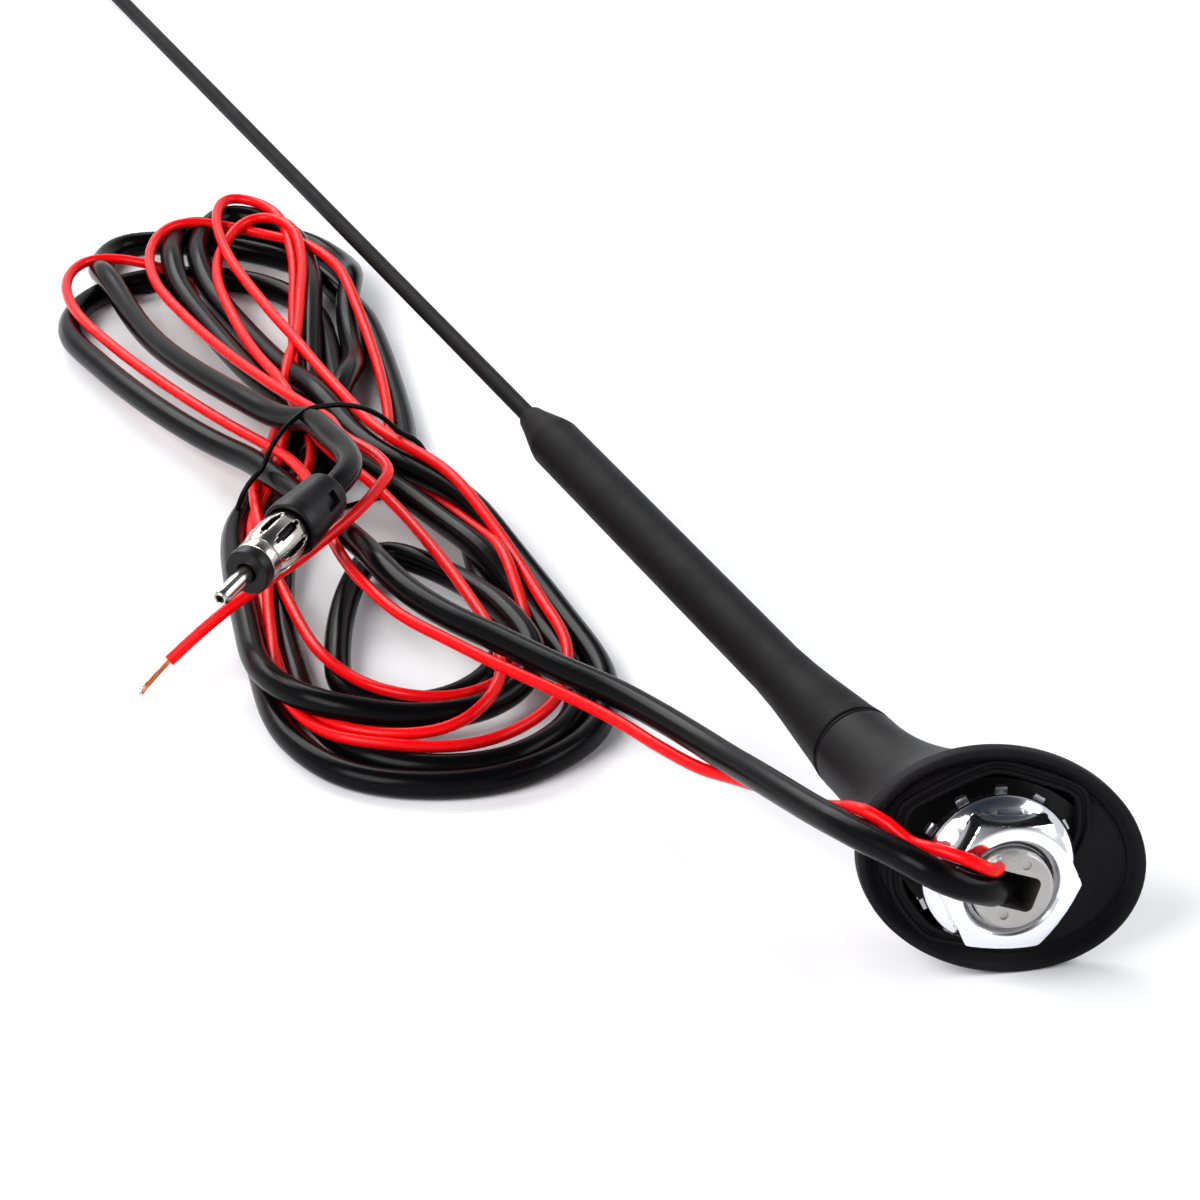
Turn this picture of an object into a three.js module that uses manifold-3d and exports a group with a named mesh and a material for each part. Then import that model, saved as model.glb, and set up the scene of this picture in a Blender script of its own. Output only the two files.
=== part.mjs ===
// Amplified car roof antenna, lying on its side on a table, with its coiled leads beside it.
// Millimetres, +Z up. X runs along the mast from the foot to the tip, and the table is z = 0.
import * as THREE from "three";
import { mergeVertices } from "three/addons/utils/BufferGeometryUtils.js";
import Module from "manifold-3d";

const wasm = await Module();
wasm.setup();

// ---------------------------------------------------------------- driving dimensions
const GAP = 0.3; // clearance between neighbouring pieces
const DEG = Math.PI / 180;

// How the antenna lies: the point where the mast axis meets the foot plane, and three angles.
const BASE_POINT = [-266, 8.55, 23.88];
const MAST_SLOPE = 2.24; // the mast falls towards its tip, degrees
const FOOT_ROLL = -69; // turn of the foot about the mast axis, degrees
const MAST_LEAN = 8.5; // lean of the mast from the stud axis, degrees
const MAST_FOOT_X = -6.5; // where the mast axis crosses the foot plane, along the oval

// Oval foot, its z from the lip's edge towards the mast.
const FOOT_HALF_LENGTH = 26;
const FOOT_HALF_WIDTH = 20;
const FOOT_CENTRE_X = 2.5; // oval centre from the stud axis
const LIP_DEPTH = 2.5; // how far the sealing lip stands out from the gasket's land
const LIP_WIDTH = 3.2;
const GASKET_TOP = 3.5;
const SHELL_BOTTOM = 3.8;
const SHELL_WALL = 2;
const NECK_RADIUS = 8;
const NECK_HEIGHT = 41;
const FLARE_POWER = 2.3;

// Mounting stud and its nut: M14 x 1.5, 22 across flats.
const STUD_RADIUS = 7;
const STUD_CHAMFER_RADIUS = 6.5;
const STUD_END = -13.2;
const STUD_HEAD_RADIUS = 9.5;
const CABLE_BORE_RADIUS = 5;
const CABLE_SLOT_HALF = 3.3;
const NUT_ACROSS_FLATS = 22;
const NUT_TOP = -12.1;
const NUT_FLANGE_RADIUS = 13.5;
const NUT_PHASE = -14; // a corner's angle from the oval's long axis, degrees

// Mast, its distances along its own axis from the foot plane.
const SEAL_START = 41.3;
const SEAL_END = 42;
const GRIP_START = 42.3;
const GRIP_RADIUS = 5.3;
const GRIP_END = 207.7;
const ROD_RADIUS = 1.75;
const CORE_RADIUS = 0.9;
const ROD_END = 541.5;
const TIP_RADIUS = 2.6;
const TIP_END = 547;
const MAST_THREAD_RADIUS = 2.5; // M5

// Leads.
const COAX_RADIUS = 2.6;
const RED_RADIUS = 1.15;
const HANK_BOTTOM = 1.6;
const HANK_TOP = 15.2;
const TIE_X = -54;
const TIE_THICKNESS = 1.1;

// Routes of the leads where they aren't coiled, on the table.
const COAX_LEAD_ROUTE = [
  [-258.2, 0.9, 20.2], [-264.1, 1.8, 20.7], [-270.1, 2.6, 21.3], [-275.5, 4.4, 22],
  [-279.4, 7.6, 23.2], [-281.4, 11.2, 25.2], [-281.8, 15.2, 27.2], [-280.9, 18.6, 29],
  [-278.2, 21.2, 30.2], [-274, 23.1, 30.5], [-267.7, 25.8, 30.6], [-260.7, 27.8, 30.2],
  [-254.1, 28.7, 29.1], [-243.8, 29.7, 27.4], [-232.7, 30.5, 25.4], [-219.9, 31.2, 22.8],
  [-208.1, 32.3, 21], [-195.3, 34.4, 19.6], [-182.6, 37.9, 18.8], [-169.9, 43.7, 18.6],
  [-154.9, 49.9, 18.5], [-143.1, 55.2, 18.5], [-131, 58.8, 18.5], [-118, 60.4, 18.5],
];
const RED_LEAD_ROUTE = [
  [-257.6, 3.2, 23.6], [-263.5, 4.1, 24.2], [-269.4, 4.9, 24.7], [-275.5, 5.8, 26],
  [-280.1, 7.4, 27.7], [-282.2, 9.8, 29.1], [-281.8, 12.3, 30.6], [-279.6, 15, 31.4],
  [-275.9, 17.5, 31.3], [-271.1, 19.6, 30.6], [-266.9, 21.6, 32.1], [-263.5, 24.2, 33.3],
  [-260.4, 24.4, 32.2], [-257.4, 24.4, 31], [-253.9, 24.5, 29.2], [-245.8, 25.7, 25.7],
  [-237, 27, 23.3], [-228.1, 28.4, 20.8], [-220.2, 30, 18.7], [-211.9, 33.1, 17.2],
  [-201.6, 36.6, 16.9], [-190.4, 39.9, 16.9], [-178, 44.8, 16.9], [-163.5, 51.6, 16.9],
  [-150, 57.3, 16.9], [-136, 62.6, 16.9], [-121.6, 64.8, 16.9],
];
const COAX_TAIL_ROUTE = [
  [-44, 52.4, 18.6], [-50, 53.8, 20.2], [-56.1, 54.9, 21.9], [-68.7, 54.9, 24],
  [-81, 55.4, 25.6], [-90, 57.7, 26.7], [-96.4, 61.6, 27.2], [-100.5, 65.6, 27],
];
const RED_TAIL_ROUTE = [
  [-47, 48.2, 17.4], [-54, 49.3, 18.8], [-61.4, 49.8, 20], [-73.8, 46.9, 20.6],
  [-82.5, 47.3, 20.9], [-89, 51.4, 21], [-96, 57.4, 20.6], [-103, 66.5, 19],
  [-109, 75.2, 17.6], [-114, 82.6, 17], [-117.2, 90, 15], [-118, 96.6, 11], [-118.7, 103.1, 6.4],
];
const STRANDS_ROUTE = [
  [-118.9, 103.9, 5.8], [-120.3, 106.8, 4.2], [-122.5, 110.2, 2.6],
];

// Outline of the hank of leads: two lobes with a waist under the tie.
const HANK_OUTLINE = [
  [-190, 62], [-183, 84], [-158, 91], [-120, 85], [-80, 74], [-54, 69], [-26, 68], [20, 76],
  [58, 79], [88, 67], [97, 48], [92, 25], [66, 13], [24, 13], [-10, 24], [-54, 33.5],
  [-86, 28], [-122, 21], [-155, 25], [-181, 40],
];

// Antenna plug: from the sleeve's back end to the pin's tip.
const PLUG_START = [-100.7, 65.8, 27];
const PLUG_DIRECTION = [-0.667, 0.735, -0.124];
const SLEEVE_END = 14.3;
const SLEEVE_BACK_RADIUS = 4.8;
const SLEEVE_FRONT_RADIUS = 5.7;
const COLLAR_START = 25;
const COLLAR_END = 27.5;
const INSULATOR_END = 30.4;
const PIN_END = 40.3;
const PIN_RADIUS = 1.65;

// ---------------------------------------------------------------- materials
function material(color, roughness, metalness) {
  return new THREE.MeshStandardMaterial({ color, roughness, metalness });
}
const RUBBER = material(0x232325, 0.85, 0);
const SHELL_PLASTIC = material(0x2b2b2d, 0.6, 0);
const GASKET_RUBBER = material(0x2a282b, 0.9, 0);
const CHROME = material(0xd8dadd, 0.12, 1);
const ZINC = material(0xb7b4ae, 0.45, 1);
const STEEL = material(0x9a9a9c, 0.35, 1);
const BRASS = material(0xb9934a, 0.35, 1);
const NICKEL = material(0xc9c2b6, 0.22, 1);
const BLACK_PVC = material(0x1b1b1d, 0.4, 0);
const RED_PVC = material(0xd8121c, 0.35, 0);
const BOARD_GREEN = material(0x1f5b36, 0.5, 0);
const COMPONENT_BLACK = material(0x161616, 0.5, 0);
const COPPER = material(0xc5713a, 0.3, 1);

// ---------------------------------------------------------------- solid helpers
function solidOf(geometry) {
  const plain = geometry.index ? geometry.toNonIndexed() : geometry.clone();
  plain.deleteAttribute("normal");
  plain.deleteAttribute("uv");
  const merged = mergeVertices(plain, 1e-4);
  return new wasm.Manifold(
    new wasm.Mesh({
      numProp: 3,
      vertProperties: merged.attributes.position.array,
      triVerts: new Uint32Array(merged.index.array),
    }),
  );
}

function geometryOf(solid) {
  const mesh = solid.getMesh();
  const geometry = new THREE.BufferGeometry();
  geometry.setAttribute("position", new THREE.BufferAttribute(mesh.vertProperties, 3));
  geometry.setIndex(new THREE.BufferAttribute(mesh.triVerts, 1));
  return geometry;
}

function cut(body, ...tools) {
  let solid = solidOf(body);
  for (const tool of tools) solid = solid.subtract(solidOf(tool));
  return geometryOf(solid);
}

function join(...bodies) {
  let solid = solidOf(bodies[0]);
  for (const body of bodies.slice(1)) solid = solid.add(solidOf(body));
  return geometryOf(solid);
}

function common(a, b) {
  return geometryOf(solidOf(a).intersect(solidOf(b)));
}

// A disc or rod from z = low to z = high about the z axis.
function rod(radius, low, high, sides = 40, topRadius = radius) {
  return new THREE.CylinderGeometry(topRadius, radius, high - low, sides)
    .rotateX(Math.PI / 2)
    .translate(0, 0, (low + high) / 2);
}

// A turned body from (radius, z) pairs about the z axis.
function turned(profile, sides = 40) {
  const points = profile.map(([radius, z]) => new THREE.Vector2(radius, z));
  return new THREE.LatheGeometry(points, sides).rotateX(Math.PI / 2);
}

function block(x, y, z, width, depth, height) {
  return new THREE.BoxGeometry(width, depth, height).translate(x, y, z);
}

// An oval prism centred on the foot's oval.
function ovalPlate(halfLength, halfWidth, low, high, sides = 64, topInset = 0) {
  const plate = rod(1, low, high, sides);
  const position = plate.attributes.position;
  for (let i = 0; i < position.count; i += 1) {
    const inset = position.getZ(i) > (low + high) / 2 ? topInset : 0;
    position.setX(i, FOOT_CENTRE_X + position.getX(i) * (halfLength - inset));
    position.setY(i, position.getY(i) * (halfWidth - inset));
  }
  return plate;
}

// A round tube along a smooth route.
function tube(route, radius, steps, sides) {
  const outline = new THREE.Shape();
  outline.absarc(0, 0, radius, 0, 2 * Math.PI, false);
  const path = new THREE.CatmullRomCurve3(route.map((point) => new THREE.Vector3(...point)));
  const options = { steps, bevelEnabled: false, extrudePath: path, curveSegments: sides };
  return new THREE.ExtrudeGeometry(outline, options);
}

// ---------------------------------------------------------------- scene graph
const antenna = new THREE.Group();

const mastFrame = new THREE.Group(); // z along the mast, from the foot plane to the tip
mastFrame.position.set(...BASE_POINT);
mastFrame.rotation.y = (90 + MAST_SLOPE) * DEG;
antenna.add(mastFrame);

const rolled = new THREE.Group();
rolled.rotation.z = FOOT_ROLL * DEG;
mastFrame.add(rolled);

const leaned = new THREE.Group();
leaned.rotation.y = MAST_LEAN * DEG;
rolled.add(leaned);

const footFrame = new THREE.Group(); // z along the stud axis, x along the oval
footFrame.position.set(-MAST_FOOT_X, 0, 0);
leaned.add(footFrame);

function add(parent, name, geometry, look) {
  const mesh = new THREE.Mesh(geometry, look);
  mesh.name = name;
  parent.add(mesh);
  return mesh;
}

// ---------------------------------------------------------------- mast
function mastParts() {
  const gripProfile = [
    [4.2, GRIP_START], [NECK_RADIUS, GRIP_START], [7.4, 47], [6.75, 55], [6.15, 62], [5.65, 69],
    [GRIP_RADIUS, 78], [GRIP_RADIUS, 193.5], [4.9, 196], [3.1, 205], [2.7, GRIP_END],
    [ROD_RADIUS + GAP, GRIP_END], [ROD_RADIUS + GAP, 190], [CORE_RADIUS + GAP, 190],
    [CORE_RADIUS + GAP, 62.4], [4.2, 62.4], [4.2, GRIP_START],
  ];
  add(mastFrame, "mast_grip", turned(gripProfile, 36), RUBBER);

  const sleeveProfile = [
    [CORE_RADIUS + GAP, 190.3], [ROD_RADIUS, 190.3], [ROD_RADIUS, ROD_END],
    [CORE_RADIUS + GAP, ROD_END], [CORE_RADIUS + GAP, 190.3],
  ];
  add(mastFrame, "mast_rod_sleeve", turned(sleeveProfile, 20), RUBBER);
  add(mastFrame, "mast_core", rod(CORE_RADIUS, 52.4, ROD_END - GAP, 12), STEEL);

  const tipProfile = [
    [0, ROD_END + GAP], [ROD_RADIUS + GAP, ROD_END + GAP], [ROD_RADIUS + GAP, 535],
    [TIP_RADIUS - 0.25, 535], [TIP_RADIUS, 536], [TIP_RADIUS, 544], [2.2, 545.8],
    [1.3, 546.7], [0, TIP_END],
  ];
  add(mastFrame, "mast_tip", turned(tipProfile, 24), RUBBER);

  const thread = rod(MAST_THREAD_RADIUS, 26.5, 45, 24);
  const head = rod(3.9, 44.5, 62, 16);
  const socket = rod(CORE_RADIUS + GAP, 52, 63, 16);
  add(mastFrame, "mast_screw_insert", cut(join(thread, head), socket), BRASS);

  const sealProfile = [
    [MAST_THREAD_RADIUS + GAP, SEAL_START], [NECK_RADIUS - 0.2, SEAL_START],
    [NECK_RADIUS - 0.2, SEAL_END], [MAST_THREAD_RADIUS + GAP, SEAL_END],
    [MAST_THREAD_RADIUS + GAP, SEAL_START],
  ];
  add(mastFrame, "mast_seal", turned(sealProfile, 36), RUBBER);
}

// ---------------------------------------------------------------- base shell
// The shell's section at a height: centre, half length, half width and tilt about y.
function shellSection(height) {
  const u = (height - SHELL_BOTTOM) / (NECK_HEIGHT - SHELL_BOTTOM);
  const flare = Math.pow(Math.max(0, 1 - u), FLARE_POWER);
  const startOffset = FOOT_CENTRE_X - MAST_FOOT_X + SHELL_BOTTOM * Math.tan(MAST_LEAN * DEG);
  const rest = Math.max(0, 1 - u);
  return {
    x: MAST_FOOT_X - height * Math.sin(MAST_LEAN * DEG) + startOffset * rest * rest,
    z: SHELL_BOTTOM + (NECK_HEIGHT * Math.cos(MAST_LEAN * DEG) - SHELL_BOTTOM) * u,
    halfLength: NECK_RADIUS + (FOOT_HALF_LENGTH - 0.6 - NECK_RADIUS) * flare,
    halfWidth: NECK_RADIUS + (FOOT_HALF_WIDTH - 0.6 - NECK_RADIUS) * flare,
    tilt: MAST_LEAN * DEG * u,
  };
}

// A turned ring whose radius is FULL minus the inset from the shell's outer skin, bent to the shell.
function bentToShell(profile, sides) {
  const FULL = 30;
  const body = turned(profile.map(([inset, height]) => [FULL - inset, height]), sides);
  const position = body.attributes.position;
  for (let i = 0; i < position.count; i += 1) {
    const x = position.getX(i);
    const y = position.getY(i);
    const radius = Math.hypot(x, y);
    const section = shellSection(position.getZ(i));
    const inset = FULL - radius;
    const along = (x / radius) * (section.halfLength - inset);
    const across = (y / radius) * (section.halfWidth - inset);
    position.setX(i, section.x + along * Math.cos(section.tilt));
    position.setY(i, across);
    position.setZ(i, section.z + along * Math.sin(section.tilt));
  }
  return body;
}

function baseShell() {
  const outer = [];
  const inner = [];
  const STEPS = 10;
  for (let i = 0; i <= STEPS; i += 1) {
    outer.push([0, SHELL_BOTTOM + ((NECK_HEIGHT - SHELL_BOTTOM) * i) / STEPS]);
    inner.push([SHELL_WALL, 36.8 - ((36.8 - SHELL_BOTTOM) * i) / STEPS]);
  }
  const boreInset = NECK_RADIUS - MAST_THREAD_RADIUS - GAP;
  const profile = [...outer, [boreInset, NECK_HEIGHT], [boreInset, 36.8], ...inner];
  profile.push([0, SHELL_BOTTOM]);
  add(footFrame, "base_shell", bentToShell(profile, 56), SHELL_PLASTIC);
}

// ---------------------------------------------------------------- foot
function hexagonPrism(low, high) {
  const corners = [
    [-4.3, -14.7], [11.4, -14.1], [14.1, -7], [8.5, 13.2], [-4.6, 15], [-12.8, 9], [-16.2, -4.2],
  ];
  const outline = new THREE.Shape(corners.map(([x, y]) => new THREE.Vector2(x, y)));
  const options = { depth: high - low, bevelEnabled: false };
  return new THREE.ExtrudeGeometry(outline, options).translate(0, 0, low);
}

function gasket() {
  const body = ovalPlate(FOOT_HALF_LENGTH, FOOT_HALF_WIDTH, 0, GASKET_TOP, 72, 0.8);
  const cup = ovalPlate(FOOT_HALF_LENGTH, FOOT_HALF_WIDTH, -0.4, LIP_DEPTH, 72, LIP_WIDTH);
  add(footFrame, "base_gasket", cut(body, cup, hexagonPrism(-1, 5)), GASKET_RUBBER);
}

function castingAndStud() {
  const plate = ovalPlate(18.4, 13.6, 4.1, 6.3, 48);
  const studHole = rod(STUD_RADIUS + GAP, 3, 7, 40);
  add(footFrame, "base_casting", cut(plate, studHole), COMPONENT_BLACK);

  const shank = rod(STUD_RADIUS, -12.7, 8.4, 40);
  const chamfer = rod(STUD_CHAMFER_RADIUS, STUD_END, -12.7, 40, STUD_RADIUS);
  const head = rod(STUD_HEAD_RADIUS, 6.6, 8.7, 40);
  const bore = common(
    rod(CABLE_BORE_RADIUS, -20, 12, 32),
    block(0, 0, -4, 20, 2 * CABLE_SLOT_HALF, 40),
  );
  const sideNotch = block(-6, 0, -8.6, 12, 2 * CABLE_SLOT_HALF + 3, 11);
  const body = join(shank, chamfer, head);
  add(footFrame, "mounting_stud", cut(body, bore, sideNotch), ZINC);
}

// The socket that the mast screws into, held in an insulating tube inside the neck.
function mastSocket() {
  const tubeBody = cut(rod(5.4, 10.5, 36.2, 32), rod(4.5, 9, 37, 32));
  add(mastFrame, "neck_insulator", tubeBody, COMPONENT_BLACK);
  const body = rod(4.2, 24, 35.9, 24);
  const bore = rod(MAST_THREAD_RADIUS + 0.12, 23, 37, 24);
  add(mastFrame, "mast_socket", cut(body, bore), BRASS);
}

function clawWasher() {
  const ring = rod(12.4, -2.1, -0.7, 40);
  const claws = [];
  const CLAWS = 10;
  for (let i = 0; i < CLAWS; i += 1) {
    const angle = (i * 2 * Math.PI) / CLAWS + 0.25;
    const claw = block(12.3, 0, -1, 1.6, 2.2, 2.2).rotateZ(angle);
    claws.push(claw);
  }
  const bore = rod(STUD_RADIUS + GAP, -4, 4, 40);
  add(footFrame, "claw_washer", cut(join(ring, ...claws), bore), STEEL);
}

function flangeNut() {
  const cornerRadius = NUT_ACROSS_FLATS / 2 / Math.cos(Math.PI / 6);
  const hexagon = rod(cornerRadius, NUT_TOP, -4, 6).rotateZ((NUT_PHASE + 30) * DEG);
  const chamfer = turned([
    [0, NUT_TOP], [10.6, NUT_TOP], [13.2, NUT_TOP + 1.5], [13.2, -3.6], [0, -3.6],
  ]);
  const flange = turned([
    [0, -2.4], [0, -6.6], [10.4, -6.6], [12.2, -5.4], [13.2, -4.4],
    [NUT_FLANGE_RADIUS, -3.8], [NUT_FLANGE_RADIUS, -2.4], [0, -2.4],
  ], 48);
  const bore = rod(STUD_RADIUS + 0.15, -20, 0, 40);
  const mouth = rod(STUD_RADIUS + 1.6, NUT_TOP - 0.1, NUT_TOP + 1.4, 40, STUD_RADIUS + 0.1);
  const body = join(common(hexagon, chamfer), flange);
  add(footFrame, "flange_nut", cut(body, bore, mouth), CHROME);
}

// ---------------------------------------------------------------- amplifier inside the shell
function amplifier() {
  const board = block(3.8, 0, 12.2, 9.4, 13, 1.2);
  add(footFrame, "amplifier_board", board, BOARD_GREEN);
  add(footFrame, "amplifier_transistor", block(5.6, 3.2, 14.1, 3, 2.4, 2), COMPONENT_BLACK);
  const can = rod(2, 13.1, 16.4, 20).translate(3.2, -3, 0);
  add(footFrame, "amplifier_capacitor", can, STEEL);
  const coil = cut(
    rod(1.6, -2.2, 2.2, 20),
    rod(0.8, -3, 3, 20),
  ).rotateX(Math.PI / 2).translate(2.2, 3.2, 14.8);
  add(footFrame, "amplifier_coil", coil, COPPER);
  const strip = join(block(-0.3, 0, 16, 0.5, 3, 5.8), block(-1.5, 0, 18.7, 2.9, 3, 0.5));
  add(footFrame, "contact_strip", strip, BRASS);
  for (const [name, x, y] of [["casting_screw_a", 15.5, 0], ["casting_screw_b", -6, 10.6]]) {
    const head = rod(1.9, 6.6, 8.1, 18).translate(x, y, 0);
    add(footFrame, name, head, STEEL);
  }
}

// ---------------------------------------------------------------- leads
function leads() {
  add(antenna, "coax_lead", tube(COAX_LEAD_ROUTE, COAX_RADIUS, 40, 10), BLACK_PVC);
  add(antenna, "red_lead", tube(RED_LEAD_ROUTE, RED_RADIUS, 48, 8), RED_PVC);
  add(antenna, "coax_tail", tube(COAX_TAIL_ROUTE, COAX_RADIUS, 12, 10), BLACK_PVC);
  add(antenna, "red_tail", tube(RED_TAIL_ROUTE, RED_RADIUS, 28, 8), RED_PVC);
  add(antenna, "copper_strands", tube(STRANDS_ROUTE, 0.5, 4, 6), COPPER);

  const points = HANK_OUTLINE.map(([x, y]) => new THREE.Vector2(x, y));
  const loop = new THREE.SplineCurve([...points, points[0]]);
  const outline = new THREE.Shape(loop.getPoints(60).slice(0, -1));
  const options = { depth: HANK_TOP - HANK_BOTTOM, bevelEnabled: false };
  const hank = new THREE.ExtrudeGeometry(outline, options).translate(0, 0, HANK_BOTTOM);
  add(antenna, "cable_hank", hank, BLACK_PVC);

  const low = 0.1;
  const high = HANK_TOP + GAP + TIE_THICKNESS;
  const frame = block(TIE_X, 51.4, (low + high) / 2, 2, 43, high - low);
  const hole = block(TIE_X, 51.4, (low + high) / 2, 4, 43 - 2 * TIE_THICKNESS,
    high - low - 2 * TIE_THICKNESS);
  add(antenna, "bundle_tie", cut(frame, hole), BLACK_PVC);
}

// ---------------------------------------------------------------- antenna plug
function plug() {
  const frame = new THREE.Group(); // z along the plug, from the sleeve's back end to the pin
  frame.position.set(...PLUG_START);
  const direction = new THREE.Vector3(...PLUG_DIRECTION).normalize();
  frame.quaternion.setFromUnitVectors(new THREE.Vector3(0, 0, 1), direction);
  antenna.add(frame);

  const sleeve = turned([
    [0, 1], [3.1, 1], [3.1, 0], [SLEEVE_BACK_RADIUS - 0.4, 0], [SLEEVE_BACK_RADIUS, 0.5],
    [SLEEVE_FRONT_RADIUS, 11], [SLEEVE_FRONT_RADIUS, SLEEVE_END], [4.8, SLEEVE_END], [4.8, 11],
    [0, 11],
  ], 32);
  add(frame, "plug_sleeve", sleeve, COMPONENT_BLACK);

  const shell = turned([
    [2.6, 11.4], [4.3, 11.4], [4.3, SLEEVE_END], [4.9, 18], [5.1, 20.5], [4.5, 24.7],
    [3.6, 24.7], [4.2, 20.5], [3.9, 18], [3.4, 14], [2.6, 13], [2.6, 11.4],
  ], 32);
  const slots = [];
  const SLOTS = 8;
  for (let i = 0; i < SLOTS; i += 1) {
    slots.push(block(4.4, 0, 19.4, 3.4, 0.9, 8).rotateZ((i * 2 * Math.PI) / SLOTS));
  }
  add(frame, "plug_contact", cut(shell, ...slots), NICKEL);

  const collar = turned([
    [3, COLLAR_START], [4.5, COLLAR_START], [4.5, COLLAR_END], [3, COLLAR_END],
    [3, COLLAR_START],
  ], 32);
  add(frame, "plug_collar", collar, NICKEL);

  const insulator = turned([
    [PIN_RADIUS + GAP, 23.5], [2.7, 23.5], [2.7, COLLAR_END + GAP], [4.6, COLLAR_END + GAP],
    [4.6, INSULATOR_END - 0.4], [4.2, INSULATOR_END], [PIN_RADIUS + GAP, INSULATOR_END],
    [PIN_RADIUS + GAP, 23.5],
  ], 32);
  add(frame, "plug_insulator", insulator, COMPONENT_BLACK);

  const pin = turned([
    [0, 13.5], [PIN_RADIUS, 13.5], [PIN_RADIUS, PIN_END - 0.7], [1.1, PIN_END], [0, PIN_END],
  ], 20);
  add(frame, "plug_pin", pin, NICKEL);
}

mastParts();
baseShell();
gasket();
castingAndStud();
mastSocket();
clawWasher();
flangeNut();
amplifier();
leads();
plug();

export default antenna;
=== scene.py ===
"""An amplified car roof antenna on a white table, with its coiled leads.

Metres, +Z up. X runs along the mast from the foot to the tip, and the table is z = 0.
"""
import math

import bmesh
import bpy
import numpy as np
from mathutils import Matrix, Vector


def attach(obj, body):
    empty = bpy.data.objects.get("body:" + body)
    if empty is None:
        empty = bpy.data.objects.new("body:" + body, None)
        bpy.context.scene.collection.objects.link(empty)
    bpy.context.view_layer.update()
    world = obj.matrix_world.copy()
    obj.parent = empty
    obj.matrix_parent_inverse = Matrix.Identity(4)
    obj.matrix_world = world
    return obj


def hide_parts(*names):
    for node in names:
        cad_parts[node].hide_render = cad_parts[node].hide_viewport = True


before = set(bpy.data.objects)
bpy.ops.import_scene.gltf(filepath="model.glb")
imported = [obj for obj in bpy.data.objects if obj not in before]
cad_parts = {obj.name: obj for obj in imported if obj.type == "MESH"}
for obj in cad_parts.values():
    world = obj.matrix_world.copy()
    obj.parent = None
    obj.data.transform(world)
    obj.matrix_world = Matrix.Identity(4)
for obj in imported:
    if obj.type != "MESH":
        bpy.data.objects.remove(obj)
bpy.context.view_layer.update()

MM = 0.001  # bmeshes and the hank's turns are in mm, and all else in metres

# How the antenna lies. In the mast frame z runs along the mast from the foot plane, and in the
# foot frame z runs along the stud towards the mast and x along the oval.
MAST_FRAME = Matrix.Translation((-0.266, 0.00855, 0.02388)) @ Matrix.Rotation(
    math.radians(92.24), 4, "Y"
)
MAST_LEAN = math.radians(8.5)
FOOT_FRAME = (
    MAST_FRAME
    @ Matrix.Rotation(math.radians(-69), 4, "Z")
    @ Matrix.Rotation(MAST_LEAN, 4, "Y")
    @ Matrix.Translation((0.0065, 0, 0))
)
PLUG_START = Vector((-0.1007, 0.0658, 0.027))
PLUG_AXIS = Vector((-0.667, 0.735, -0.124)).normalized()
PLUG_TOP = (Vector((0, 0, 1)) - PLUG_AXIS * PLUG_AXIS.z).normalized()
PLUG_TURN = Matrix((PLUG_TOP, PLUG_AXIS.cross(PLUG_TOP), PLUG_AXIS)).transposed()
PLUG_FRAME = Matrix.Translation(PLUG_START) @ PLUG_TURN.to_4x4()


# ---------------------------------------------------------------- camera
CAMERA_PLACE = (-0.92996, 0.32372, 0.43355)
CAMERA_AIM = Vector((0.8381, -0.3173, -0.4437))


def make_camera():
    data = bpy.data.cameras.new("camera")
    data.sensor_width = 36
    data.lens = 150.1
    camera = bpy.data.objects.new("camera", data)
    camera.location = CAMERA_PLACE
    camera.rotation_euler = CAMERA_AIM.to_track_quat("-Z", "Y").to_euler()
    bpy.context.scene.collection.objects.link(camera)
    bpy.context.scene.camera = camera


make_camera()


# ---------------------------------------------------------------- finishes
def finish_of(name, colour, rough, grain, relief=0.05, drift=0.12, metallic=0, gloss=0.5):
    """A procedural finish: colour and roughness drift a little, and a fine grain lifts the light."""
    look = bpy.data.materials.new(name)
    look.use_nodes = True
    nodes = look.node_tree.nodes
    links = look.node_tree.links
    shader = nodes["Principled BSDF"]
    place = nodes.new("ShaderNodeTexCoord")

    def noise(scale, detail):
        node = nodes.new("ShaderNodeTexNoise")
        node.inputs["Scale"].default_value = scale
        node.inputs["Detail"].default_value = detail
        links.new(place.outputs["Object"], node.inputs["Vector"])
        return node.outputs["Fac"]

    tint = nodes.new("ShaderNodeMix")
    tint.data_type = "RGBA"
    tint.inputs["A"].default_value = (*[c * (1 - drift) for c in colour], 1)
    tint.inputs["B"].default_value = (*[min(1, c * (1 + drift)) for c in colour], 1)
    links.new(noise(38, 3), tint.inputs["Factor"])
    links.new(tint.outputs["Result"], shader.inputs["Base Color"])

    sheen = nodes.new("ShaderNodeMapRange")
    sheen.inputs["To Min"].default_value = rough * 0.8
    sheen.inputs["To Max"].default_value = min(1, rough * 1.2)
    links.new(noise(110, 4), sheen.inputs["Value"])
    links.new(sheen.outputs["Result"], shader.inputs["Roughness"])

    bump = nodes.new("ShaderNodeBump")
    bump.inputs["Strength"].default_value = relief
    bump.inputs["Distance"].default_value = 0.0003
    links.new(noise(grain, 2), bump.inputs["Height"])
    links.new(bump.outputs["Normal"], shader.inputs["Normal"])

    shader.inputs["Metallic"].default_value = metallic
    if not metallic:
        shader.inputs["Specular IOR Level"].default_value = gloss
    return look


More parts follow.
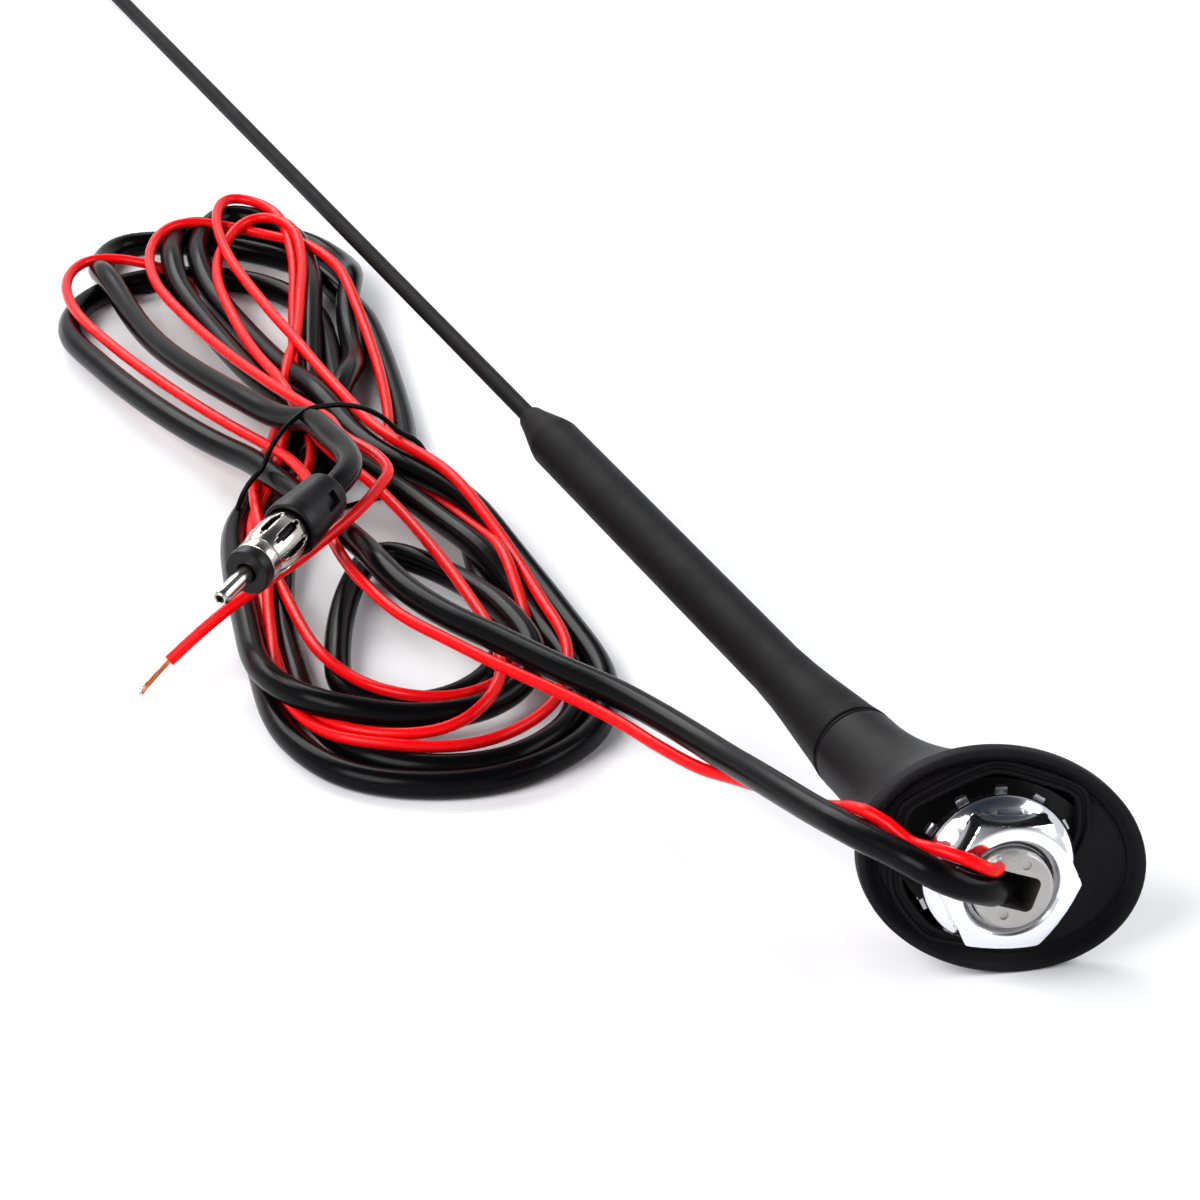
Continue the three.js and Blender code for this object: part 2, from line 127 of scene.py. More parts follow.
LOOKS = {
    "rubber": dict(
        colour=(0.0035, 0.0034, 0.0038), rough=0.56, grain=2600, relief=0.3, gloss=0.07
    ),
    "shell_plastic": dict(
        colour=(0.006, 0.0058, 0.0064), rough=0.5, grain=2000, relief=0.2, gloss=0.1
    ),
    "gasket_rubber": dict(
        colour=(0.0046, 0.004, 0.0048), rough=0.6, grain=1800, relief=0.25, gloss=0.12
    ),
    "chrome": dict(colour=(0.8, 0.81, 0.84), rough=0.12, grain=300, relief=0.02, metallic=1),
    "zinc": dict(colour=(0.42, 0.41, 0.395), rough=0.46, grain=1800, relief=0.45, metallic=1),
    "steel": dict(colour=(0.4, 0.4, 0.42), rough=0.3, grain=1200, relief=0.1, metallic=1),
    "brass": dict(colour=(0.6, 0.42, 0.18), rough=0.3, grain=1000, relief=0.1, metallic=1),
    "nickel": dict(colour=(0.62, 0.58, 0.52), rough=0.2, grain=700, relief=0.06, metallic=1),
    "black_pvc": dict(colour=(0.0018, 0.0017, 0.0021), rough=0.24, grain=800, gloss=0.07),
    "red_pvc": dict(
        colour=(0.72, 0.002, 0.004), rough=0.28, grain=800, relief=0.04, drift=0.08, gloss=0.14
    ),
    "board_green": dict(colour=(0.01, 0.09, 0.03), rough=0.45, grain=1500, relief=0.2),
    "component_black": dict(colour=(0.0042, 0.0042, 0.0047), rough=0.4, grain=1500, gloss=0.18),
    "copper": dict(colour=(0.62, 0.2, 0.07), rough=0.4, grain=1200, relief=0.1, metallic=1),
}
FINISHES = {name: finish_of(name, **look) for name, look in LOOKS.items()}

# ---------------------------------------------------------------- cords
COAX_DIAMETER = 0.0052
RED_DIAMETER = 0.0023
TIE_DIAMETER = 0.0011
STEP = 0.002  # spacing of the points along a cord
PUSH_SHARES = np.array([0.5, 0.5, 1])  # crossing cords give way mostly upwards

# Where the leads aren't coiled, they lie along these points.
COAX_LEAD = [
    (-0.2582, 0.0009, 0.0202), (-0.2641, 0.0018, 0.0207), (-0.2701, 0.0026, 0.0213),
    (-0.2755, 0.0044, 0.022), (-0.2794, 0.0076, 0.0232), (-0.2814, 0.0112, 0.0252),
    (-0.2818, 0.0152, 0.0272), (-0.2809, 0.0186, 0.029), (-0.2782, 0.0212, 0.0302),
    (-0.274, 0.0231, 0.0305), (-0.2677, 0.0258, 0.0306), (-0.2607, 0.0278, 0.0302),
    (-0.2541, 0.0287, 0.0291), (-0.2438, 0.0297, 0.0274), (-0.2327, 0.0305, 0.0254),
    (-0.2199, 0.0312, 0.0228), (-0.2081, 0.0323, 0.021), (-0.1953, 0.0344, 0.0196),
    (-0.1826, 0.0379, 0.0188), (-0.1699, 0.0437, 0.0186), (-0.1549, 0.0499, 0.0185),
    (-0.1431, 0.0552, 0.0185), (-0.131, 0.0588, 0.0185), (-0.118, 0.0604, 0.0185),
]

RED_LEAD = [
    (-0.2576, 0.0032, 0.0236), (-0.2635, 0.0041, 0.0242), (-0.2694, 0.0049, 0.0247),
    (-0.2755, 0.0058, 0.026), (-0.2801, 0.0074, 0.0277), (-0.2822, 0.0098, 0.0291),
    (-0.2818, 0.0123, 0.0306), (-0.2796, 0.015, 0.0314), (-0.2759, 0.0175, 0.0313),
    (-0.2711, 0.0196, 0.0306), (-0.2669, 0.0216, 0.0321), (-0.2635, 0.0242, 0.0333),
    (-0.2604, 0.0244, 0.0322), (-0.2574, 0.0244, 0.031), (-0.2539, 0.0245, 0.0292),
    (-0.2458, 0.0257, 0.0257), (-0.237, 0.027, 0.0233), (-0.2281, 0.0284, 0.0208),
    (-0.2202, 0.03, 0.0187), (-0.2119, 0.0331, 0.0172), (-0.2016, 0.0366, 0.0169),
    (-0.1904, 0.0399, 0.0169), (-0.178, 0.0448, 0.0169), (-0.1635, 0.0516, 0.0169),
    (-0.15, 0.0573, 0.0169), (-0.136, 0.0626, 0.0169), (-0.1216, 0.0648, 0.0169),
]

COAX_TAIL = [
    (-0.044, 0.0524, 0.0186), (-0.05, 0.0538, 0.0202), (-0.0561, 0.0549, 0.0219),
    (-0.0687, 0.0549, 0.024), (-0.081, 0.0554, 0.0256), (-0.09, 0.0577, 0.0267),
    (-0.0964, 0.0616, 0.0272), (-0.1005, 0.0656, 0.027),
]

RED_TAIL = [
    (-0.047, 0.0482, 0.0174), (-0.054, 0.0493, 0.0188), (-0.0614, 0.0498, 0.02),
    (-0.0738, 0.0469, 0.0206), (-0.0825, 0.0473, 0.0209), (-0.089, 0.0514, 0.021),
    (-0.096, 0.0574, 0.0206), (-0.103, 0.0665, 0.019), (-0.109, 0.0752, 0.0176),
    (-0.114, 0.0826, 0.017), (-0.1172, 0.09, 0.015), (-0.118, 0.0966, 0.011),
    (-0.1187, 0.1031, 0.0064),
]

STRANDS = [
    (-0.1189, 0.1039, 0.0058), (-0.1203, 0.1068, 0.0042), (-0.1225, 0.1102, 0.0026),
]

# The hank is wound as figures of eight about this waist. A lobe's stations are its share of the
# way from the waist to its apex, and its share of the lobe's half width.
WAIST_X = -46  # mm
TIE_X, TIE_Y = -0.055, 0.0514  # the tie's middle
TIE_REACH = 0.03  # half the width that the tie gathers
SLACK_SPAN = 0.008  # the tie bows out where it spans more than this
TIE_SKEW = 0.24  # how far the tie leans along the hank, per distance across it
LOBE = [(0.16, 0.3), (0.36, 0.62), (0.58, 0.88), (0.78, 1), (0.93, 0.66), (1, 0)]
FAR, NEAR, EVEN = (1, 0.75), (0.7, 0.75), (1, 1)  # how full a lobe's first and second side are

# Each turn's lobes, in mm: apex, half widths and fullness of both sides, heights, and where it ends.
COAX_WAIST = (WAIST_X, 64.5, 12)
COAX_LOBES = [
    ((70, 56), (20, 31), FAR, (8, 4, 3), (WAIST_X, 53, 4.4)),
    ((-172, 58), (26, 24), NEAR, (4, 3, 5), (WAIST_X, 45.5, 11)),
    ((90, 34), (13, 28), FAR, (9, 6, 3), (WAIST_X, 56, 4.4)),
    ((-178, 60), (30, 28), NEAR, (3, 3, 6), (WAIST_X, 38.5, 10.5)),
    ((90, 29), (12, 16), FAR, (9, 8, 8), (WAIST_X, 59, 5)),
    ((-158, 66), (24, 24), NEAR, (9, 9, 8), (-84, 50, 7)),
    ((-146, 60), (16, 16), NEAR, (6, 5, 6), (WAIST_X, 31, 3)),
]
# The last one ends at its apex, and the return goes on from there over the rest to the tail.
COAX_LAST = ((92, 52), (-31, -14), EVEN, (3, 4, 9), (-44, 52.4, 18.6))
COAX_RETURN = [
    (78.4, 61.5, 5), (51.9, 64, 8.5), (22.5, 65.3, 11.5), (-1.7, 64, 14), (-25, 61, 16.2),
    (-44, 57.5, 18),
]
RED_WAIST = (WAIST_X, 60.5, 15)
RED_LOBES = [
    ((77, 64), (12, 20), FAR, (10, 7, 4), (WAIST_X, 52, 7.5)),
    ((-168, 62), (27, 25), NEAR, (9, 7, 8), (WAIST_X, 36.5, 14)),
    ((92, 27), (8, 13), FAR, (13, 11, 9), (WAIST_X, 60, 8)),
    ((-164, 64), (22, 16), NEAR, (7, 9, 12), (WAIST_X, 49, 13)),
    ((79, 25), (12, 11), FAR, (11, 12, 11), (WAIST_X, 63, 8)),
    ((-150, 58), (16, 18), NEAR, (8, 8, 8), (WAIST_X, 34, 7)),
    ((84, 42), (-24, -12), EVEN, (9, 9, 12), (-47, 48.2, 17.4)),
]
TAIL_SKIP = 2  # the coil flows into the tail without the tail's first points
# The leads go from the near lobe's top over to the waist.
COAX_BRIDGE = [(-108.6, 60.4, 18.2), (-92, 61, 17.4), (-76, 61.9, 16), (-60, 63, 14)]
RED_BRIDGE = [(-108, 64.6, 16.5), (-92, 63, 16.8), (-76, 60.5, 17.5), (-60, 59.7, 17)]


def lobe(start, end, apex, widths, fullness, heights):
    """The points of one lobe, from the waist round its apex and back, in mm."""
    stations = LOBE + [(u, -v) for u, v in LOBE[-2::-1]]
    points = []
    for i, (u, v) in enumerate(stations, 1):
        t = i / (len(stations) + 1)
        side = 0 if t < 0.5 else 1
        root = (start, end)[side]
        if v == 0:
            root = [(a + b) / 2 for a, b in zip(start, end)]
        bulge = math.copysign(abs(v) ** fullness[side], v) * widths[side]
        x = root[0] * (1 - u) + apex[0] * u
        y = root[1] * (1 - u) + apex[1] * u + bulge
        z = np.interp(t, [0, 0.25, 0.5, 0.75, 1], [start[2], *heights, end[2]])
        points.append((x, y, z))
    return points


def wound(start, lobes):
    """The hank's turns as one list of points, in mm."""
    points = [start]
    for apex, widths, fullness, heights, end in lobes:
        points += lobe(points[-1], end, apex, widths, fullness, heights)
        points.append(end)
    return points


def between_knots(p, knots, t):
    """The Catmull-Rom point between p[1] and p[2] at t."""

    def mix(a, b, start, end):
        return a * (end - t) / (end - start) + b * (t - start) / (end - start)

    first = [mix(p[k], p[k + 1], knots[k], knots[k + 1]) for k in range(3)]
    second = [mix(first[k], first[k + 1], knots[k], knots[k + 2]) for k in range(2)]
    return mix(second[0], second[1], knots[1], knots[2])


def resampled(points, step):
    """The same line as evenly spaced points."""
    along = np.r_[0, np.cumsum(np.linalg.norm(np.diff(points, axis=0), axis=1))]
    even = np.linspace(0, along[-1], max(2, round(along[-1] / step)))
    return np.stack([np.interp(even, along, points[:, k]) for k in range(3)], 1)


def smooth_path(points, step=STEP):
    """A centripetal Catmull-Rom curve through the points, evenly resampled."""
    p = np.array(points, float)
    p = np.vstack([2 * p[0] - p[1], p, 2 * p[-1] - p[-2]])
    fine = []
    for i in range(len(p) - 3):
        spans = np.linalg.norm(np.diff(p[i : i + 4], axis=0), axis=1) ** 0.5
        knots = np.r_[0, np.cumsum(spans)]
        for t in np.linspace(knots[1], knots[2], 16, endpoint=False):
            fine.append(between_knots(p[i : i + 4], knots, t))
    return resampled(np.array(fine + [p[-2]]), step)


def freedom(points, lead_end, tail_start, ease=30):
    """How freely each point may settle: 0 on the lead and the tail, 1 in the coil."""
    half = len(points) // 2
    first = np.argmin(np.linalg.norm(points - lead_end, axis=1))
    last = half + np.argmin(np.linalg.norm(points[half:] - tail_start, axis=1))
    k = np.arange(len(points))
    return np.clip((k - first) / ease, 0, 1) * np.clip((last - k) / ease, 0, 1)


def close_pairs(points, owner, reach=0.009, apart=0.014):
    """Pairs of points of different turns that lie within reach of each other."""
    index = np.arange(len(points))
    pairs = []
    for start in range(0, len(points), 400):
        gap = np.linalg.norm(points[start : start + 400, None] - points[None], axis=2)
        a, b = np.nonzero(gap < reach)
        a += start
        keep = (a < b) & ((owner[a] != owner[b]) | (index[b] - index[a] > apart / STEP))
        pairs.append((a[keep], b[keep]))
    return [np.concatenate(side) for side in zip(*pairs)]


def pushes(now, pairs, radius, clearance, give=0.3):
    """How far each point is pushed, in a round, by the points that it overlaps."""
    a, b = pairs
    between = now[a] - now[b]
    gap = np.linalg.norm(between, axis=1)
    depth = radius[a] + radius[b] + clearance - gap
    hit = depth > 0
    push = between[hit] / np.maximum(gap[hit], 1e-6)[:, None] * PUSH_SHARES
    push *= depth[hit, None] * give
    move = np.zeros_like(now)
    crowd = np.ones(len(now))
    for side, way in ((a[hit], 1), (b[hit], -1)):
        np.add.at(move, side, push * way)
        np.add.at(crowd, side, 0.5)
    return move / crowd[:, None]


def settle(cords, rounds=90, sinking_rounds=63, clearance=0.0001, sink=0.00004):
    """Lets the coils down onto each other and the table, without passing through.

    cords is a list of (points, radius, freedom).
    """
    rest = np.vstack([points for points, _, _ in cords])
    radius = np.concatenate([np.full(len(p), r) for p, r, _ in cords])
    owner = np.concatenate([np.full(len(p), k) for k, (p, _, _) in enumerate(cords)])
    free = np.concatenate([f for _, _, f in cords])[:, None]
    ends = np.cumsum([0] + [len(p) for p, _, _ in cords])
    parts = [slice(a, b) for a, b in zip(ends[:-1], ends[1:])]
    # The tie passes under the waist.
    table = TIE_DIAMETER * np.exp(-(((rest[:, 0] - TIE_X) / 0.03) ** 2))
    shift = np.zeros_like(rest)
    for turn in range(rounds):
        now = rest + shift
        if turn % 10 == 0:
            pairs = close_pairs(now, owner)
        shift += free * pushes(now, pairs, radius, clearance)
        if turn < sinking_rounds:
            shift[:, 2] -= free[:, 0] * sink
        for part in parts:
            relax(shift[part], 2)
            shift[part] *= np.minimum(1, free[part] * 50)
        under = radius + table - (rest + shift)[:, 2]
        shift[:, 2] += np.maximum(0, under) * (free[:, 0] > 0)
    return [eased_part(rest[part] + shift[part], free[part]) for part in parts]


def eased_part(line, free):
    """A settled cord, smoothed where it is free."""
    eased = line.copy()
    relax(eased, 8)
    return line + (eased - line) * free


def relax(line, passes):
    """Smooths a line of points in place, but for its ends."""
    for _ in range(passes):
        line[1:-1] = 0.5 * line[1:-1] + 0.25 * (line[:-2] + line[2:])


def whole_route(lead, bridge, waist, lobes, tail, last=()):
    """One smooth line in metres: the lead, the coil from its bridge on, and the tail."""
    coil = [tuple(v * MM for v in p) for p in [*bridge, *wound(waist, lobes), *last]]
    return smooth_path(lead + coil + tail[TAIL_SKIP:])


def settled_cords():
    """Both leads' centrelines, wound and let down onto the table."""
    last = lobe(COAX_LOBES[-1][-1], COAX_LAST[-1], *COAX_LAST[:-1])[: len(LOBE)]
    coax = whole_route(COAX_LEAD, COAX_BRIDGE, COAX_WAIST, COAX_LOBES, COAX_TAIL, last + COAX_RETURN)
    red = whole_route(RED_LEAD, RED_BRIDGE, RED_WAIST, RED_LOBES, RED_TAIL)
    coax_free = freedom(coax, COAX_LEAD[-1], COAX_TAIL[0])
    red_free = freedom(red, RED_LEAD[-1], RED_TAIL[0])
    return settle([(coax, COAX_DIAMETER / 2, coax_free), (red, RED_DIAMETER / 2, red_free)])


def curve_piece(name, lines, diameter, slot, cyclic=False):
    """Round cords along lines of points, as one curve that rides on the base."""
    curve = bpy.data.curves.new(name, "CURVE")
    curve.dimensions = "3D"
    curve.bevel_depth = diameter / 2
    curve.bevel_resolution = 5
    curve.use_fill_caps = True
    for line in lines:
        spline = curve.splines.new("POLY")
        spline.points.add(len(line) - 1)
        spline.points.foreach_set("co", np.c_[line, np.ones(len(line))].ravel())
        spline.use_smooth = True
        spline.use_cyclic_u = cyclic
    curve.materials.append(FINISHES[slot])
    obj = bpy.data.objects.new(name, curve)
    bpy.context.scene.collection.objects.link(obj)
    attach(obj, "base")
    return obj


coax_line, red_line = settled_cords()
coax_cord = curve_piece("coax_cord", [coax_line], COAX_DIAMETER, "black_pvc")
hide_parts("coax_lead", "cable_hank", "coax_tail")
red_cord = curve_piece("red_cord", [red_line], RED_DIAMETER, "red_pvc")
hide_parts("red_lead", "red_tail")


# ---------------------------------------------------------------- what is on the cords
def hull(points):
    """The convex hull of 2-D points, anticlockwise."""
    points = sorted(map(tuple, points))

    def half(run):
        line = []
        for p in run:
            while len(line) > 1 and turn_of(line[-2], line[-1], p) <= 0:
                line.pop()
            line.append(p)
        return line[:-1]

    return half(points) + half(points[::-1])


def turn_of(a, b, c):
    return (b[0] - a[0]) * (c[1] - a[1]) - (b[1] - a[1]) * (c[0] - a[0])


def strand_rims(centre, across, normal):
    """Points round every strand that crosses the tie's upright plane, as (across, height)."""
    rim = []
    for line, radius in ((coax_line, COAX_DIAMETER / 2), (red_line, RED_DIAMETER / 2)):
        side = (line - centre) @ normal
        for i in np.nonzero(side[:-1] * side[1:] < 0)[0]:
            spot = line[i] - centre
            if abs(spot @ across) > TIE_REACH:
                continue
            out = radius + TIE_DIAMETER * 0.55
            for a in np.linspace(0, 2 * math.pi, 16, endpoint=False):
                rim.append((spot @ across + out * math.cos(a), spot[2] + out * math.sin(a)))
    return rim


def slack_loop(corners):
    """The closed loop through the corners, bowing out a little over its long upper spans."""
    loop = []
    for a, b in zip(corners, corners[1:] + corners[:1]):
        loop.append(a)
        span = math.dist(a, b)
        if span > SLACK_SPAN and max(a[1], b[1]) > SLACK_SPAN:
            for t in (0.25, 0.5, 0.75):
                slack = 0.5 * span * t * (1 - t)
                s = a[0] + (b[0] - a[0]) * t + (b[1] - a[1]) / span * slack
                z = a[1] + (b[1] - a[1]) * t - (b[0] - a[0]) / span * slack
                loop.append((s, z))
    return loop


def tie_line():
    """A cord drawn round every strand at the hank's waist."""
    centre = np.array([TIE_X, TIE_Y, 0])
    across = np.array([-TIE_SKEW, 1, 0]) / math.hypot(1, TIE_SKEW)
    normal = np.array([across[1], -across[0], 0])
    loop = slack_loop(hull(strand_rims(centre, across, normal)))
    loop = [centre + s * across + [0, 0, max(z, TIE_DIAMETER / 2)] for s, z in loop]
    line = resampled(np.array(loop + loop[:1]), 0.001)[:-1]
    for _ in range(3):
        line = 0.5 * line + 0.25 * (np.roll(line, 1, 0) + np.roll(line, -1, 0))
    return line


def make_tie():
    """The tie round the hank's waist, and its twisted end."""
    around = tie_line()
    tie = curve_piece("tie_cord", [around], TIE_DIAMETER, "black_pvc", cyclic=True)
    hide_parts("bundle_tie")
    knot = around[np.argmax(around[:, 1] - around[:, 2] * 0.5)]
    turns = np.linspace(0, 2.3 * 2 * math.pi, 60)
    swell = 0.0007 + 0.0008 * (turns / turns[-1])
    loops = knot + np.stack(
        [-0.0004 * turns / 3, 0.0008 + swell * np.cos(turns), swell * np.sin(turns)], 1
    )
    loops[:, 2] = np.maximum(loops[:, 2], TIE_DIAMETER / 2)
    end = curve_piece("tie_end", [loops], TIE_DIAMETER * 0.8, "black_pvc")
    return [tie, end]


def make_strands():
    """Fine copper wires that leave the red lead's cut end and fray."""
    middle = smooth_path([RED_TAIL[-1], *STRANDS], 0.0004)
    wires = []
    for i in range(7):
        turn = np.linspace(0, 3.4, len(middle)) + i * 0.9
        spread = np.linspace(0.00032, 0.0005, len(middle)) * (0.15 if i == 0 else 1)
        wires.append(middle + np.stack(
            [spread * np.cos(turn), spread * 0.4 * np.sin(turn * 1.3), spread * np.sin(turn)], 1
        ))
        wires[-1] = wires[-1][: len(middle) - i]
    strands = curve_piece("strand_wires", wires, 0.00026, "copper")
    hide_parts("copper_strands")
    return strands


# ---------------------------------------------------------------- mesh helpers
def loft(rows, body=None):
    """Quads between successive rings of points, in a bmesh."""
    body = body or bmesh.new()
    rings = [[body.verts.new(p) for p in row] for row in rows]
    for a, b in zip(rings, rings[1:]):
        for i, corner in enumerate(a):
            k = (i + 1) % len(a)
            body.faces.new((corner, a[k], b[k], b[i]))
    return body


def circle(radius, z, sides):
    angles = [2 * math.pi * i / sides for i in range(sides)]
    return [(radius * math.cos(a), radius * math.sin(a), z) for a in angles]


def turned(profile, sides=64):
    """A turned body from (radius, z) pairs about the z axis."""
    return loft([circle(radius, z, sides) for radius, z in profile])


def rounded(profile, radius, steps=4):
    """The profile with each inner corner turned into a small curve."""
    out = [tuple(profile[0])]
    for before, corner, after in zip(profile, profile[1:], profile[2:]):
        a, c, b = (np.array(p, float) for p in (before, corner, after))
        ends = []
        for other in (a, b):
            span = np.linalg.norm(other - c)
            ends.append(c + (other - c) / span * min(radius, span * 0.45))
        for t in np.linspace(0, 1, steps + 1):
            spot = (1 - t) ** 2 * ends[0] + 2 * t * (1 - t) * c + t * t * ends[1]
            out.append(tuple(spot))
    return out + [tuple(profile[-1])]


def mesh_of(body, name, frame_matrix, crease):
    """A smooth-shaded mesh in metres from a bmesh in mm."""
    bmesh.ops.remove_doubles(body, verts=body.verts, dist=1e-4)
    bmesh.ops.recalc_face_normals(body, faces=body.faces)
    body.transform(frame_matrix @ Matrix.Scale(MM, 4))
    mesh = bpy.data.meshes.new(name)
    body.to_mesh(mesh)
    body.free()
    mesh.polygons.foreach_set("use_smooth", [True] * len(mesh.polygons))
    mesh.set_sharp_from_angle(angle=math.radians(crease))
    return mesh


def add_piece(name, body, frame_matrix, slot, rides, nodes=(), crease=35):
    """A visible piece from a bmesh in mm, which stands for CAD nodes and rides on a CAD body."""
    mesh = mesh_of(body, name, frame_matrix, crease)
    mesh.materials.append(FINISHES[slot])
    obj = bpy.data.objects.new(name, mesh)
    bpy.context.scene.collection.objects.link(obj)
    if nodes:
        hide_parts(*nodes)
    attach(obj, rides)
    return obj


def carved(body, *cutters):
    """body without the cutters. All are closed bmeshes in mm in one frame."""
    objects = []
    for part in (body, *cutters):
        bmesh.ops.remove_doubles(part, verts=part.verts, dist=1e-4)
        bmesh.ops.recalc_face_normals(part, faces=part.faces)
        mesh = bpy.data.meshes.new("cutting")
        part.to_mesh(mesh)
        part.free()
        objects.append(bpy.data.objects.new("cutting", mesh))
        bpy.context.scene.collection.objects.link(objects[-1])
    for tool in objects[1:]:
        cut = objects[0].modifiers.new("cut", "BOOLEAN")
        cut.operation = "DIFFERENCE"
        cut.solver = "EXACT"
        cut.object = tool
    shown = objects[0].evaluated_get(bpy.context.evaluated_depsgraph_get())
    out = bmesh.new()
    out.from_mesh(shown.to_mesh())
    for obj in objects:
        bpy.data.objects.remove(obj)
    return out


# ---------------------------------------------------------------- mast
NECK_RADIUS = 8
SEAL_START, SEAL_END, GRIP_START, GRIP_END = 41.3, 42, 42.3, 207.7
ROD_RADIUS = 1.75
ROD_END, TIP_END = 541.5, 547


def make_mast():
    """The rubber grip, the slim rod and its cap, which screw out of the base together."""
    taper = [(7.4, 47), (6.75, 55), (6.15, 62), (5.65, 69), (5.3, 78)]
    cone = [(5.3, 193.5), (4.9, 196), (3.1, 205), (2.7, GRIP_END)]
    inner = [(ROD_RADIUS + 0.05, GRIP_END), (ROD_RADIUS + 0.05, 190)]
    mouth = [(4.2, GRIP_START + 6), (4.2, GRIP_START), (NECK_RADIUS, GRIP_START)]
    grip = turned(rounded(mouth + taper + cone + inner, 0.5), 72)
    add_piece("grip_rubber", grip, MAST_FRAME, "rubber", "mast", ["mast_grip"])

    sleeve = [(1.2, 190.3), (ROD_RADIUS, 190.3), (ROD_RADIUS, ROD_END), (1.2, ROD_END)]
    sleeve = turned(rounded(sleeve, 0.1), 32)
    add_piece("rod_rubber", sleeve, MAST_FRAME, "rubber", "mast", ["mast_rod_sleeve"])

    cap = [(1.8, 535.2), (2.35, 535), (2.6, 536), (2.6, 544), (2.2, 545.8), (1.3, 546.7)]
    cap = turned(rounded(cap + [(0, TIP_END)], 0.4), 40)
    add_piece("tip_cap", cap, MAST_FRAME, "rubber", "mast", ["mast_tip"])

    edge = NECK_RADIUS - 0.2
    seal = [(2.8, SEAL_START), (edge, SEAL_START), (edge, SEAL_END), (2.8, SEAL_END)]
    seal = turned(rounded(seal + [(2.8, SEAL_START)], 0.2), 64)
    add_piece("seal_ring", seal, MAST_FRAME, "rubber", "seal", ["mast_seal"])


# ---------------------------------------------------------------- base shell
FOOT_LENGTH, FOOT_WIDTH = 26, 20  # half axes of the foot's oval
FOOT_CENTRE = 2.5  # the oval's centre from the stud axis
SHELL_BOTTOM, NECK_HEIGHT = 3.8, 41
MAST_FOOT = -6.5  # where the mast axis crosses the foot plane
SHELL_INSET = 0.6  # the shell's edge inside the gasket's
FLARE_POWER = 2.3
OVAL_SIDES = 120


def shell_ring(height, inset):
    """A ring of the shell at a height, drawn in from its outer skin."""
    u = (height - SHELL_BOTTOM) / (NECK_HEIGHT - SHELL_BOTTOM)
    rest = max(0, 1 - u)
    flare = rest**FLARE_POWER
    start = FOOT_CENTRE - MAST_FOOT + SHELL_BOTTOM * math.tan(MAST_LEAN)
    x = MAST_FOOT - height * math.sin(MAST_LEAN) + start * rest * rest
    z = SHELL_BOTTOM + (NECK_HEIGHT * math.cos(MAST_LEAN) - SHELL_BOTTOM) * u
    length = NECK_RADIUS + (FOOT_LENGTH - SHELL_INSET - NECK_RADIUS) * flare - inset
    width = NECK_RADIUS + (FOOT_WIDTH - SHELL_INSET - NECK_RADIUS) * flare - inset
    tilt = MAST_LEAN * u
    ring = []
    for i in range(OVAL_SIDES):
        angle = 2 * math.pi * i / OVAL_SIDES
        along = length * math.cos(angle)
        ring.append((
            x + along * math.cos(tilt), width * math.sin(angle), z + along * math.sin(tilt)
        ))
    return ring


def make_shell():
    """The plastic cover that sweeps from the oval foot up to the round neck."""
    outside = [(3.8, 0.7), (3.8, 0.25), (3.95, 0.06), (4.2, 0)]
    outside += [(h, 0) for h in np.linspace(4.8, 40.5, 40)]
    outside += [(40.8, 0.08), (40.95, 0.25), (41, 0.5), (41, 5.2)]
    inside = [(36.8, 5.2), (36.8, 2)] + [(h, 2) for h in np.linspace(35, 3.8, 24)]
    profile = outside + inside + outside[:1]
    shell = loft([shell_ring(height, inset) for height, inset in profile])
    add_piece("shell_cover", shell, FOOT_FRAME, "shell_plastic", "base", ["base_shell"], 40)


# ---------------------------------------------------------------- gasket
CUT_OUT = [
    (-4.3, -14.7), (11.4, -14.1), (14.1, -7), (8.5, 13.2), (-4.6, 15), (-12.8, 9), (-16.2, -4.2),
]
CORNER_POWER = 18  # how sharp the cut-out's corners are


def oval_reach(angle, length, width):
    """Distance from the stud axis to an oval about the foot's centre."""
    c, s = math.cos(angle), math.sin(angle)
    a = (c / length) ** 2 + (s / width) ** 2
    b = -2 * c * FOOT_CENTRE / length**2
    k = (FOOT_CENTRE / length) ** 2 - 1
    return (-b + math.sqrt(b * b - 4 * a * k)) / (2 * a)


def cut_out_reach(angle):
    """Distance from the stud axis to the cut-out's edge, its corners rounded."""
    total = 0
    for (ax, ay), (bx, by) in zip(CUT_OUT, CUT_OUT[1:] + CUT_OUT[:1]):
        nx, ny = by - ay, ax - bx
        distance = (ax * nx + ay * ny) / math.hypot(nx, ny)
        facing = (math.cos(angle) * nx + math.sin(angle) * ny) / math.hypot(nx, ny)
        total += (max(0, facing) / distance) ** CORNER_POWER
    return total ** (-1 / CORNER_POWER)


def gasket_ring(inset, z, from_cut_out=False):
    ring = []
    for i in range(OVAL_SIDES):
        angle = 2 * math.pi * i / OVAL_SIDES
        reach = oval_reach(angle, FOOT_LENGTH - inset, FOOT_WIDTH - inset)
        if from_cut_out:
            reach = min(cut_out_reach(angle) + inset, reach)
        ring.append((reach * math.cos(angle), reach * math.sin(angle), z))
    return ring


